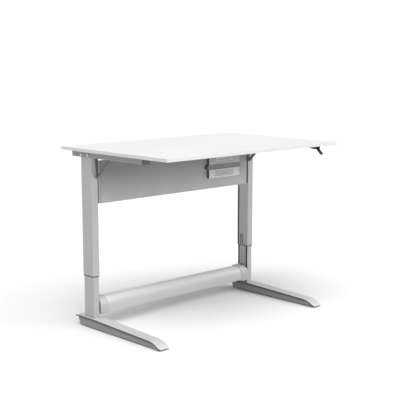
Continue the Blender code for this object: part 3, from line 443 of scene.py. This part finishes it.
def cast_metal(name, colour, gloss=0.46, metal=0.35):
    """Die-cast aluminium under a thin coat: pitted skin with broad flow marks."""
    mat, nodes, links, skin = new_material(name)
    place = object_place(nodes, links)
    pits = grain(nodes, links, place, 1100.0, 4.0, 0.65)
    flow = grain(nodes, links, object_place(nodes, links, (1, 0.4, 1)), 28.0, 4.0, 0.6)
    worn = nodes.new("ShaderNodeAttribute")
    worn.attribute_name = "edge"
    tone = sums(nodes, links, "ADD", spread(nodes, links, flow, 0.95, 1.05),
                sums(nodes, links, "MULTIPLY", worn.outputs["Fac"], CAST_EDGE_LIFT))
    links.new(tinted(nodes, links, colour, tone), skin.inputs["Base Color"])
    links.new(spread(nodes, links, flow, gloss - 0.06, gloss + 0.08), skin.inputs["Roughness"])
    skin.inputs["Metallic"].default_value = metal
    raised(nodes, links, pits, 0.06 * MM, 0.4, skin)
    return mat


def plated_steel(name, colour):
    """Bright zinc plate: fine turning marks, cloudy passivation, duller patches."""
    mat, nodes, links, skin = new_material(name)
    place = object_place(nodes, links)
    turned = grain(nodes, links, object_place(nodes, links, (1, 1, 9)), 700.0, 3.0, 0.6)
    cloud = grain(nodes, links, place, 160.0, 4.0, 0.6)
    tone = spread(nodes, links, cloud, 0.88, 1.08)
    links.new(tinted(nodes, links, colour, tone), skin.inputs["Base Color"])
    links.new(spread(nodes, links, cloud, 0.20, 0.36), skin.inputs["Roughness"])
    skin.inputs["Metallic"].default_value = 1.0
    raised(nodes, links, turned, 0.03 * MM, 0.3, skin)
    return mat


cast_grey = cast_metal("bare casting", CAST_GREY, metal=0.8)
nylon = moulded_plastic("natural nylon", NYLON, gloss=0.4, texture=900.0, relief=0.15)
zinc = plated_steel("zinc plate", ZINC)
for side, _ in SIDES:
    finished(f"{side}_nut_post", cast_grey, edge=0.3 * MM)
    finished(f"{side}_lift_nut", nylon, edge=0.3 * MM)
    for end in ("front", "rear"):
        finished(f"{side}_{end}_column_bolt", zinc, edge=0.25 * MM)


# Cross beam, beam ends and clamp bolts ---------------------------------------------------
# A rolled silver beam is plugged onto a cast end fitting at each leg.  The end's lug is tied
# to the lower tube, and one clamp bolt on its rear shoulder pulls it up tight.  The crown of
# the beam and of its ends carries painted light, paler towards the top.
BEAM_SILVER = (0.43, 0.43, 0.43, 1)
END_SILVER = (0.38, 0.38, 0.385, 1)
CROWN_PAINTED_LIGHT = (0.122, 1.0, 0.146, 1.9)     # low z, its tone, high z, its tone
END_PAINTED_LIGHT = (0.126, 1.0, 0.150, 1.7)

# the beam and its ends carry painted light, paler towards the crown
beam_silver = powder_coat("beam powder coat", BEAM_SILVER, gloss=0.46, metal=0.15, painted_height_light=CROWN_PAINTED_LIGHT)
end_silver = powder_coat("beam end powder coat", END_SILVER, gloss=0.42, metal=0.2, painted_height_light=END_PAINTED_LIGHT)
finished("cross_beam", beam_silver, edge=0.4 * MM, sharp=40.0)
for side, _ in SIDES:
    finished(f"{side}_beam_end", end_silver, edge=0.7 * MM, steps=3)
    finished(f"{side}_beam_bolt", zinc, edge=0.35 * MM)


# Spindles ------------------------------------------------------------------------------
# Bright steel lifting screws, one in each column, with a rolled two-start thread of 8 mm
# lead that runs in the nylon nut.
STEEL = (0.60, 0.60, 0.61, 1)
THREAD_LEAD = 8.0 * MM
THREAD_RIDGE = 0.55 * MM
THREAD_SUNK = 0.25 * MM       # middle of the ridge below the spindle's surface
THREAD_START = 4.0 * MM       # plain end below the thread
THREAD_PLAIN = 24.0 * MM      # both plain ends together


def thread_tree():
    tree, nodes, links, start, end = maker_tree("two-start thread", [
        ("Foot", "Vector"), ("Height", "Float"), ("Turns", "Float"), ("Radius", "Float"),
        ("Ridge", "Float"), ("Material", "Material")])
    join = nodes.new("GeometryNodeJoinGeometry")
    for turn in (0.0, pi):
        path = nodes.new("GeometryNodeCurveSpiral")
        path.inputs["Resolution"].default_value = 20
        links.new(start.outputs["Turns"], path.inputs["Rotations"])
        links.new(start.outputs["Radius"], path.inputs["Start Radius"])
        links.new(start.outputs["Radius"], path.inputs["End Radius"])
        links.new(start.outputs["Height"], path.inputs["Height"])
        ridge = nodes.new("GeometryNodeCurvePrimitiveCircle")
        ridge.inputs["Resolution"].default_value = 6
        links.new(start.outputs["Ridge"], ridge.inputs["Radius"])
        skin = nodes.new("GeometryNodeCurveToMesh")
        skin.inputs["Fill Caps"].default_value = True
        links.new(path.outputs["Curve"], skin.inputs["Curve"])
        links.new(ridge.outputs["Curve"], skin.inputs["Profile Curve"])
        move = nodes.new("GeometryNodeTransform")
        move.inputs["Rotation"].default_value = (0, 0, turn)
        links.new(skin.outputs["Mesh"], move.inputs["Geometry"])
        links.new(start.outputs["Foot"], move.inputs["Translation"])
        links.new(move.outputs["Geometry"], join.inputs["Geometry"])
    close_tree(nodes, links, start, end, join.outputs["Geometry"], smooth=True)
    return tree


spindle_steel = plated_steel("spindle steel", STEEL)
thread = thread_tree()
for side, _ in SIDES:
    node = f"{side}_spindle"
    finished(node, spindle_steel, edge=0.3 * MM)
    low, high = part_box(node)
    centre = (low + high) / 2
    radius = (high.x - low.x) / 2
    tall = (high.z - low.z) - THREAD_PLAIN
    made(thread, f"{side}_spindle_thread", node, "zinc_steel",
         Foot=(centre.x, centre.y, low.z + THREAD_START), Height=tall, Turns=tall / THREAD_LEAD,
         Radius=radius - THREAD_SUNK, Ridge=THREAD_RIDGE, Material=spindle_steel)


# Upper tubes and collars -----------------------------------------------------------------
# The outer tubes slide down over the lower ones on a black collar in the mouth of each.
# The step in the rear corner carries the same black strip of painted shade as the tube inside,
# and the slot that clears the beam's lug has a black trim of painted shade on its lips.
COLLAR_BLACK = (0.045, 0.045, 0.046, 1)
SLOT_SIDES = (0.226, 0.240)       # y of the slot's two lips
SLOT_TOP = 0.332
TRIM_WIDE = 2.6 * MM
TRIM_PROUD = 0.6 * MM
TRIM_SUNK = 0.05 * MM
MOUTH_GAP = 1.0 * MM          # strips and trim stop short of the tube's mouth
UPPER_STEP_FACE = 0.5 * MM

collar_plastic = moulded_plastic("collar plastic", COLLAR_BLACK, gloss=0.5)
for side, sign in SIDES:
    finished(f"{side}_upper_tube", silver, edge=0.4 * MM)
    finished(f"{side}_tube_collar", collar_plastic, edge=0.3 * MM)
    low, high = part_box(f"{side}_upper_tube")
    inner = min(abs(low.x), abs(high.x))
    mouth = low.z + MOUTH_GAP
    # black strip of painted shade in the rear corner step
    x0, x1 = across(sign, inner + UPPER_STEP_FACE, inner + STEP_FLOOR)
    block(f"{side}_upper_corner_shade_strip", (x0, high.y - STEP_LONG + STRIP_INSET, mouth),
          (x1, high.y - CORNER_INSET, high.z - 2 * MM), shade_strip_plastic, "top")
    # black trim of painted shade on the lips of the slot
    x0, x1 = across(sign, inner - TRIM_PROUD, inner + TRIM_SUNK)
    for part, y0, y1, z0, z1 in (
            ("front", SLOT_SIDES[0] - TRIM_WIDE, SLOT_SIDES[0], mouth, SLOT_TOP),
            ("rear", SLOT_SIDES[1], SLOT_SIDES[1] + TRIM_WIDE, mouth, SLOT_TOP),
            ("top", SLOT_SIDES[0] - TRIM_WIDE, SLOT_SIDES[1] + TRIM_WIDE,
             SLOT_TOP, SLOT_TOP + TRIM_WIDE)):
        block(f"{side}_slot_shade_trim_{part}", (x0, y0, z0), (x1, y1, z1), shade_strip_plastic, "top",
              edge=0.15 * MM)


# Drive units and head blocks --------------------------------------------------------------
# A cast gear housing with its motor hangs in the head of each column, under a cast block
# that is bolted through the side of the rail with two bright socket screws.
HEAD_GREY = (0.40, 0.40, 0.41, 1)
SOCKET_R = 3.4 * MM
SOCKET_THIN = 0.16 * MM


def hexagon(name, centre, radius, material, body):
    """A thin six-sided disc facing along X."""
    shape = bmesh.new()
    facing = Matrix.Translation(centre) @ Matrix.Rotation(pi / 2, 4, "Y")
    bmesh.ops.create_cone(shape, cap_ends=True, segments=6, radius1=radius, radius2=radius,
                          depth=SOCKET_THIN, matrix=facing)
    mesh = bpy.data.meshes.new(name)
    shape.to_mesh(mesh)
    shape.free()
    mesh.materials.append(material)
    piece = bpy.data.objects.new(name, mesh)
    bpy.context.scene.collection.objects.link(piece)
    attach(piece, body)

head_casting = cast_metal("head casting", HEAD_GREY)
socket_dark = moulded_plastic("shaded hexagon socket", (0.02, 0.02, 0.021, 1), gloss=0.6)
for side, sign in SIDES:
    finished(f"{side}_drive_unit", cast_grey, edge=0.4 * MM)
    finished(f"{side}_head_block", head_casting, edge=0.5 * MM)
    for end in ("front", "rear"):
        node = f"{side}_rail_bolt_{end}"
        finished(node, zinc, edge=0.9 * MM, steps=3)
        low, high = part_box(node)
        face_x = high.x if sign > 0 else low.x
        middle = (face_x, (low.y + high.y) / 2, (low.z + high.z) / 2)
        hexagon(f"{side}_{end}_bolt_socket", middle, SOCKET_R, socket_dark, "top")


# Rails, rail caps, top screws and gussets -------------------------------------------------
# Folded steel rails run front to back under the top, with an open folded gusset ahead of
# each column and a dark moulded cap in each open end.
CAP_GREY = (0.11, 0.11, 0.112, 1)
GUSSET_SHADE_GREY = (0.13, 0.13, 0.13, 1)
RAIL_SILVER = (0.27, 0.27, 0.27, 1)

rail_silver = powder_coat("rail powder coat", RAIL_SILVER, gloss=0.45)
# the gusset's dark grey coat is painted shade
gusset_painted_shade = powder_coat("gusset painted shade", GUSSET_SHADE_GREY, gloss=0.5)
cap_plastic = moulded_plastic("rail cap plastic", CAP_GREY, gloss=0.5)
for side, _ in SIDES:
    finished(f"{side}_rail", rail_silver, edge=0.4 * MM)
    finished(f"{side}_gusset", gusset_painted_shade, edge=0.3 * MM)
    for end in ("front", "rear"):
        finished(f"{side}_rail_cap_{end}", cap_plastic, edge=0.4 * MM)
        finished(f"{side}_top_screw_{end}", zinc, edge=0.2 * MM)


# Back panel and its brackets ---------------------------------------------------------------
# One folded sheet hangs across the back between two bracket strips.  Each bracket is fixed
# to its column, a black strip of painted shade marks the joint, and a row of domed rivets
# holds the panel to it.
PANEL_SILVER = (0.29, 0.29, 0.29, 1)
PANEL_PAINTED_SHADE = (0.65, 1.22, 0.80, 0.66)    # painted shade and light: darker towards the top, paler low down
BRACKET_SILVER = (0.34, 0.34, 0.34, 1)
RETURN_PAINTED_LIGHT = (0.50, 0.50, 0.50, 1)
JOINT_SHADE_WIDE = 7.0 * MM
JOINT_SHADE_PROUD = 0.8 * MM
JOINT_SHADE_ENDS = 2.0 * MM        # strip short of the ends of the bracket
RIVET_INSET = 8.0 * MM        # in from the end of the panel
RIVET_MARGIN = 24.0 * MM      # outer rivets in from its lower and upper edge
RIVETS = 3
RIVET_R = 3.2 * MM


def rivet_row_tree():
    tree, nodes, links, start, end = maker_tree("row of domed rivets", [
        ("Start", "Vector"), ("Step", "Vector"), ("Count", "Int"), ("Radius", "Float"),
        ("Dome", "Vector"), ("Material", "Material")])
    row = nodes.new("GeometryNodeMeshLine")
    links.new(start.outputs["Count"], row.inputs["Count"])
    links.new(start.outputs["Start"], row.inputs["Start Location"])
    links.new(start.outputs["Step"], row.inputs["Offset"])
    dome = nodes.new("GeometryNodeMeshUVSphere")
    dome.inputs["Segments"].default_value = 16
    dome.inputs["Rings"].default_value = 10
    links.new(start.outputs["Radius"], dome.inputs["Radius"])
    flat = nodes.new("GeometryNodeTransform")
    links.new(dome.outputs["Mesh"], flat.inputs["Geometry"])
    links.new(start.outputs["Dome"], flat.inputs["Scale"])
    copies = nodes.new("GeometryNodeInstanceOnPoints")
    links.new(row.outputs["Mesh"], copies.inputs["Points"])
    links.new(flat.outputs["Geometry"], copies.inputs["Instance"])
    close_tree(nodes, links, start, end, copies.outputs["Instances"], smooth=True)
    return tree


# the panel's coat carries painted shade at the top and painted light low down
panel_silver = powder_coat("panel powder coat", PANEL_SILVER, gloss=0.46, metal=0.2,
                           painted_height_light=PANEL_PAINTED_SHADE)
bracket_silver = powder_coat("bracket powder coat", BRACKET_SILVER, gloss=0.46, metal=0.2)
return_painted_light = powder_coat("panel return painted light", RETURN_PAINTED_LIGHT, gloss=0.46, metal=0.2)
joint_shade_plastic = moulded_plastic("joint shade strip", SHADE_STRIP_BLACK, gloss=0.7)
panel = finished("modesty_panel", panel_silver, edge=0.3 * MM)
# the panel's faces turned to -X are painted lighter, as painted light
faced(panel, return_painted_light, 0, -2.0, -0.7)
panel_low, panel_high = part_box("modesty_panel")
rivet_row = rivet_row_tree()
for side, sign in SIDES:
    finished(f"{side}_panel_bracket", bracket_silver, edge=0.3 * MM)
    low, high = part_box(f"{side}_panel_bracket")
    outer = max(abs(low.x), abs(high.x))
    # a black strip of painted shade marks the joint of bracket and column
    x0, x1 = across(sign, outer - JOINT_SHADE_WIDE, outer - 0.2 * MM)
    block(f"{side}_joint_shade_strip", (x0, low.y - JOINT_SHADE_PROUD, low.z + JOINT_SHADE_ENDS),
          (x1, low.y - 0.05 * MM, high.z - JOINT_SHADE_ENDS),
          joint_shade_plastic, "top")
    edge_x = panel_high.x if sign > 0 else panel_low.x
    made(rivet_row, f"{side}_panel_rivets", "top", "zinc_steel",
         Start=(edge_x - sign * RIVET_INSET, panel_low.y, panel_low.z + RIVET_MARGIN),
         Step=(0, 0, (panel_high.z - panel_low.z - 2 * RIVET_MARGIN) / (RIVETS - 1)), Count=RIVETS,
         Radius=RIVET_R, Dome=(1, 0.35, 1), Material=panel_silver)


# Control boxes, their rail and the power inlet ---------------------------------------------
# Two light grey moulded cases, one above the other, are clipped to a darker rail on the
# panel.  Each has its end faces painted dark as painted shade, a blank printed frame on its
# face and a row of cooling slots.  The upper case is painted darker as painted shade.
CASE_GREY = (0.36, 0.36, 0.365, 1)
CASE_PAINTED_SHADE = (0.70, 1.45, 0.80, 0.80)     # painted shade and light: the upper case darker, the lower one paler
CASE_RAIL_GREY = (0.155, 0.155, 0.157, 1)
CASE_END_SHADE_GREY = (0.075, 0.075, 0.076, 1)
LABEL_GREY = (0.40, 0.40, 0.405, 1)
LABEL_INK = (0.10, 0.10, 0.10, 1)
LABEL_LONG = 138.0 * MM
LABEL_HIGH = 27.0 * MM
LABEL_PROUD = 0.15 * MM
SLOT_COUNT = 14
SLOT_FIRST = 30.0 * MM        # left end of a case to its first cooling slot
SLOT_PITCH = 13.0 * MM
SLOT_SIZE = (7 * MM, 1.6 * MM, 0.16 * MM)
PIN_FROM_END = 6.0 * MM       # end of the inlet to the pins
PIN_PITCH = 5.0 * MM
PIN_SIZE = (7 * MM, 1.6 * MM, 2.6 * MM)
INLET_BLACK = (0.05, 0.05, 0.052, 1)
SHADE_BLACK = (0.03, 0.03, 0.03, 1)


def slot_row_tree():
    tree, nodes, links, start, end = maker_tree("row of small bars", [
        ("Start", "Vector"), ("Step", "Vector"), ("Count", "Int"), ("Size", "Vector"),
        ("Turn", "Rotation"), ("Material", "Material")])
    row = nodes.new("GeometryNodeMeshLine")
    links.new(start.outputs["Count"], row.inputs["Count"])
    links.new(start.outputs["Start"], row.inputs["Start Location"])
    links.new(start.outputs["Step"], row.inputs["Offset"])
    bar = nodes.new("GeometryNodeMeshCube")
    links.new(start.outputs["Size"], bar.inputs["Size"])
    copies = nodes.new("GeometryNodeInstanceOnPoints")
    links.new(row.outputs["Mesh"], copies.inputs["Points"])
    links.new(bar.outputs["Mesh"], copies.inputs["Instance"])
    links.new(start.outputs["Turn"], copies.inputs["Rotation"])
    close_tree(nodes, links, start, end, copies.outputs["Instances"])
    return tree


def blank_label_material():
    """Matt film with a thin printed frame and one ruled line; nothing is written on it."""
    mat, nodes, links, skin = new_material("blank label film")
    spot = nodes.new("ShaderNodeUVMap")
    spot.uv_map = "label"
    parts = nodes.new("ShaderNodeSeparateXYZ")
    links.new(spot.outputs["UV"], parts.inputs["Vector"])
    from_middle_x, from_middle_y = (
        sums(nodes, links, "ABSOLUTE", sums(nodes, links, "SUBTRACT", parts.outputs[way], 0.5), 0)
        for way in "XY")
    frame_x = sums(nodes, links, "GREATER_THAN", from_middle_x, 0.487)
    frame_y = sums(nodes, links, "GREATER_THAN", from_middle_y, 0.43)
    rule = sums(nodes, links, "MULTIPLY", sums(nodes, links, "LESS_THAN", from_middle_x, 0.34),
                sums(nodes, links, "LESS_THAN", from_middle_y, 0.05))
    ink = sums(nodes, links, "MAXIMUM", sums(nodes, links, "MAXIMUM", frame_x, frame_y), rule)
    speck = grain(nodes, links, object_place(nodes, links), 800.0, 2.0)
    mix = nodes.new("ShaderNodeMix")
    mix.data_type = "RGBA"
    mix.inputs["A"].default_value = LABEL_GREY
    mix.inputs["B"].default_value = LABEL_INK
    patchy = spread(nodes, links, speck, 0.75, 1.0)
    links.new(sums(nodes, links, "MULTIPLY", ink, patchy), mix.inputs["Factor"])
    links.new(mix.outputs["Result"], skin.inputs["Base Color"])
    links.new(spread(nodes, links, speck, 0.5, 0.6), skin.inputs["Roughness"])
    raised(nodes, links, speck, 0.02 * MM, 0.2, skin)
    return mat


# the case plastic carries painted shade on the upper case and painted light on the lower
case_plastic = moulded_plastic("case plastic", CASE_GREY, gloss=0.5, texture=1500.0, painted_height_light=CASE_PAINTED_SHADE)
case_rail_paint = powder_coat("case rail coat", CASE_RAIL_GREY, gloss=0.45)
label_film = blank_label_material()
slot_dark = moulded_plastic("cooling slot shade", SHADE_BLACK, gloss=0.8)
slot_row = slot_row_tree()
case_end_painted_shade = moulded_plastic("case end painted shade", CASE_END_SHADE_GREY, gloss=0.55)
finished("control_box_rail", case_rail_paint, edge=0.4 * MM)
for level in ("lower", "upper"):
    node = f"control_box_{level}"
    case = finished(node, case_plastic, edge=0.5 * MM)
    # the end faces of each case are painted dark as painted shade
    for along in ((-2.0, -0.7), (0.7, 2.0)):
        faced(case, case_end_painted_shade, 0, *along)
    low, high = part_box(node)
    middle = (low + high) / 2
    left, foot = middle.x - LABEL_LONG / 2, middle.z - LABEL_HIGH / 2
    label = block(f"{level}_box_label", (left, low.y - LABEL_PROUD, foot),
                  (middle.x + LABEL_LONG / 2, low.y + 0.05 * MM, middle.z + LABEL_HIGH / 2),
                  label_film, "top", edge=0)
    layer = label.data.uv_layers.new(name="label")
    for loop in label.data.loops:
        at = label.data.vertices[loop.vertex_index].co
        layer.data[loop.index].uv = ((at.x - left) / LABEL_LONG, (at.z - foot) / LABEL_HIGH)
    face_z = low.z if level == "lower" else high.z
    made(slot_row, f"{level}_box_slots", "top", "light_grey_case",
         Start=(low.x + SLOT_FIRST, middle.y + 1 * MM, face_z), Step=(SLOT_PITCH, 0, 0),
         Count=SLOT_COUNT, Size=SLOT_SIZE, Material=slot_dark)

inlet_plastic = moulded_plastic("inlet plastic", INLET_BLACK, gloss=0.42)
finished("power_inlet", inlet_plastic, edge=0.3 * MM)
low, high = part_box("power_inlet")
made(slot_row, "power_inlet_pins", "top", "zinc_steel",
     Start=(low.x + PIN_FROM_END, (low.y + high.y) / 2, (low.z + high.z) / 2 - PIN_PITCH),
     Step=(0, 0, PIN_PITCH), Count=3, Size=PIN_SIZE, Material=zinc)


# Tabletop ------------------------------------------------------------------------------
# A 16 mm board faced in white laminate above and in plain grey backing sheet below, with a
# plastic band glued round its edges that is painted greyer as painted shade.
TOP_WHITE = (0.82, 0.82, 0.82, 1)
BAND_SHADE_WHITE = (0.55, 0.55, 0.555, 1)
BACKING_GREY = (0.17, 0.17, 0.171, 1)


def laminate(name, colour, gloss):
    """Melamine face: very fine pebble, faint broad sheen changes and light rub marks."""
    mat, nodes, links, skin = new_material(name)
    place = object_place(nodes, links)
    pebble = grain(nodes, links, place, 1300.0, 3.0, 0.6)
    broad = grain(nodes, links, place, 3.0, 3.0)
    rub = grain(nodes, links, object_place(nodes, links, (0.3, 1, 1)), 45.0, 6.0, 0.75)
    tone = sums(nodes, links, "ADD", spread(nodes, links, broad, 0.985, 1.01),
                spread(nodes, links, pebble, -0.012, 0.012))
    links.new(tinted(nodes, links, colour, tone), skin.inputs["Base Color"])
    rough = sums(nodes, links, "ADD", spread(nodes, links, rub, gloss - 0.06, gloss + 0.06),
                 spread(nodes, links, broad, -0.03, 0.03))
    links.new(rough, skin.inputs["Roughness"])
    raised(nodes, links, pebble, 0.03 * MM, 0.25, skin)
    return mat


top_white = laminate("white laminate", TOP_WHITE, 0.42)
band_painted_shade = laminate("edge band painted shade", BAND_SHADE_WHITE, 0.36)
board = finished("tabletop", top_white, edge=0.25 * MM)
# the band round the edges is painted greyer as painted shade
faced(board, band_painted_shade, 2, -0.6, 0.6)
faced(board, laminate("grey backing sheet", BACKING_GREY, 0.55), 2, -2.0, -0.6)


# Height switch -------------------------------------------------------------------------
# A black moulded housing screwed under the front edge, with a rocking paddle that points
# down and forward.
SWITCH_BLACK = (0.005, 0.005, 0.0052, 1)

switch_plastic = moulded_plastic("switch plastic", SWITCH_BLACK, gloss=0.55)
pin_steel = plated_steel("pin steel", STEEL)
finished("switch_housing", switch_plastic, edge=0.5 * MM, steps=3)
finished("switch_paddle", switch_plastic, edge=0.5 * MM, steps=3)
finished("switch_pin", pin_steel, edge=0.2 * MM)


# Studio --------------------------------------------------------------------------------
# A wide white floor that meets a pale backdrop, a soft even sky, one very broad lamp from
# high on the left, and a bright window low in front.
SKY = 0.38                    # strength overhead
HORIZON = 1.06                # strength of the pale backdrop low down
HORIZON_BAND = (0.06, 0.16)   # the backdrop fades into the sky between these heights
LAMP = 1.75
LAMP_WIDE = 40.0              # degrees across
LAMP_FROM = (-0.50, -0.30, 0.95)
FRONT = 2.0                   # added strength of the bright window in front
FRONT_TOWARDS = (0.20, -0.80, 0.48)
FRONT_FADE = (0.62, 0.92)     # from its soft rim to its full brightness
FLOOR_WHITE = (0.87, 0.87, 0.87, 1)
FLOOR_RINGS = (3.0, 10.0, 40.0, 150.0)
FLOOR_SIDES = 96
CAMERA_AT = (-3.39178, -3.54592, 1.3857)
CAMERA_YAW = 44.059
CAMERA_PITCH = 10.316
CAMERA_ROLL = 0.085
CAMERA_SENSOR = 36.0          # millimetres
CAMERA_LENS = 82.554231       # millimetres
CAMERA_RISE = 0.0374038
CAMERA_FAR = 400.0

stage = bmesh.new()
rings = [[stage.verts.new((0, 0, 0))]]
for radius in FLOOR_RINGS:
    turns = [2 * pi * k / FLOOR_SIDES for k in range(FLOOR_SIDES)]
    rings.append([stage.verts.new((radius * cos(turn), radius * sin(turn), 0)) for turn in turns])
for inner, outer in zip(rings, rings[1:]):
    for k in range(FLOOR_SIDES):
        after = (k + 1) % FLOOR_SIDES
        if len(inner) == 1:
            stage.faces.new((inner[0], outer[k], outer[after]))
        else:
            stage.faces.new((inner[k], outer[k], outer[after], inner[after]))
stage_mesh = bpy.data.meshes.new("studio_floor")
stage.to_mesh(stage_mesh)
stage.free()
stage_mesh.polygons.foreach_set("use_smooth", [True] * len(stage_mesh.polygons))
floor_white, nodes, links, skin = new_material("studio white")
links.new(tinted(nodes, links, FLOOR_WHITE, spread(nodes, links, grain(
    nodes, links, object_place(nodes, links), 0.7, 2.0), 0.995, 1.005)), skin.inputs["Base Color"])
skin.inputs["Roughness"].default_value = 0.9
skin.inputs["Specular IOR Level"].default_value = 0.1
stage_mesh.materials.append(floor_white)
floor = bpy.data.objects.new("studio_floor", stage_mesh)
bpy.context.scene.collection.objects.link(floor)

world = bpy.data.worlds.new("studio sky")
world.use_nodes = True
nodes, links = world.node_tree.nodes, world.node_tree.links
way = nodes.new("ShaderNodeTexCoord")
parts = nodes.new("ShaderNodeSeparateXYZ")
links.new(way.outputs["Generated"], parts.inputs["Vector"])
window = nodes.new("ShaderNodeVectorMath")
window.operation = "DOT_PRODUCT"
window.inputs[1].default_value = Vector(FRONT_TOWARDS).normalized()
links.new(way.outputs["Generated"], window.inputs[0])
sky = spread(nodes, links, parts.outputs["Z"], HORIZON, SKY, *HORIZON_BAND)
glow = spread(nodes, links, window.outputs["Value"], 0.0, FRONT, *FRONT_FADE)
links.new(sums(nodes, links, "ADD", sky, glow), nodes["Background"].inputs["Strength"])
nodes["Background"].inputs["Color"].default_value = (1, 1, 1, 1)
bpy.context.scene.world = world

lamp = bpy.data.lights.new("broad lamp", "SUN")
lamp.energy = LAMP
lamp.angle = radians(LAMP_WIDE)
lamp_object = bpy.data.objects.new("broad lamp", lamp)
lamp_object.rotation_euler = Vector(LAMP_FROM).to_track_quat("Z", "Y").to_euler()
bpy.context.scene.collection.objects.link(lamp_object)

yaw, pitch, roll = radians(CAMERA_YAW), radians(CAMERA_PITCH), radians(CAMERA_ROLL)
forward = Vector((sin(yaw) * cos(pitch), cos(yaw) * cos(pitch), -sin(pitch)))
right = Vector((cos(yaw), -sin(yaw), 0))
up = right.cross(forward)
right, up = cos(roll) * right + sin(roll) * up, -sin(roll) * right + cos(roll) * up
view = bpy.data.cameras.new("front left view")
view.sensor_width = CAMERA_SENSOR
view.lens = CAMERA_LENS
view.shift_y = CAMERA_RISE
view.clip_end = CAMERA_FAR
camera = bpy.data.objects.new("front left view", view)
camera.matrix_world = Matrix((
    (right.x, up.x, -forward.x, CAMERA_AT[0]),
    (right.y, up.y, -forward.y, CAMERA_AT[1]),
    (right.z, up.z, -forward.z, CAMERA_AT[2]),
    (0, 0, 0, 1)))
bpy.context.scene.collection.objects.link(camera)
bpy.context.scene.camera = camera
bpy.context.scene.view_settings.view_transform = "Standard"
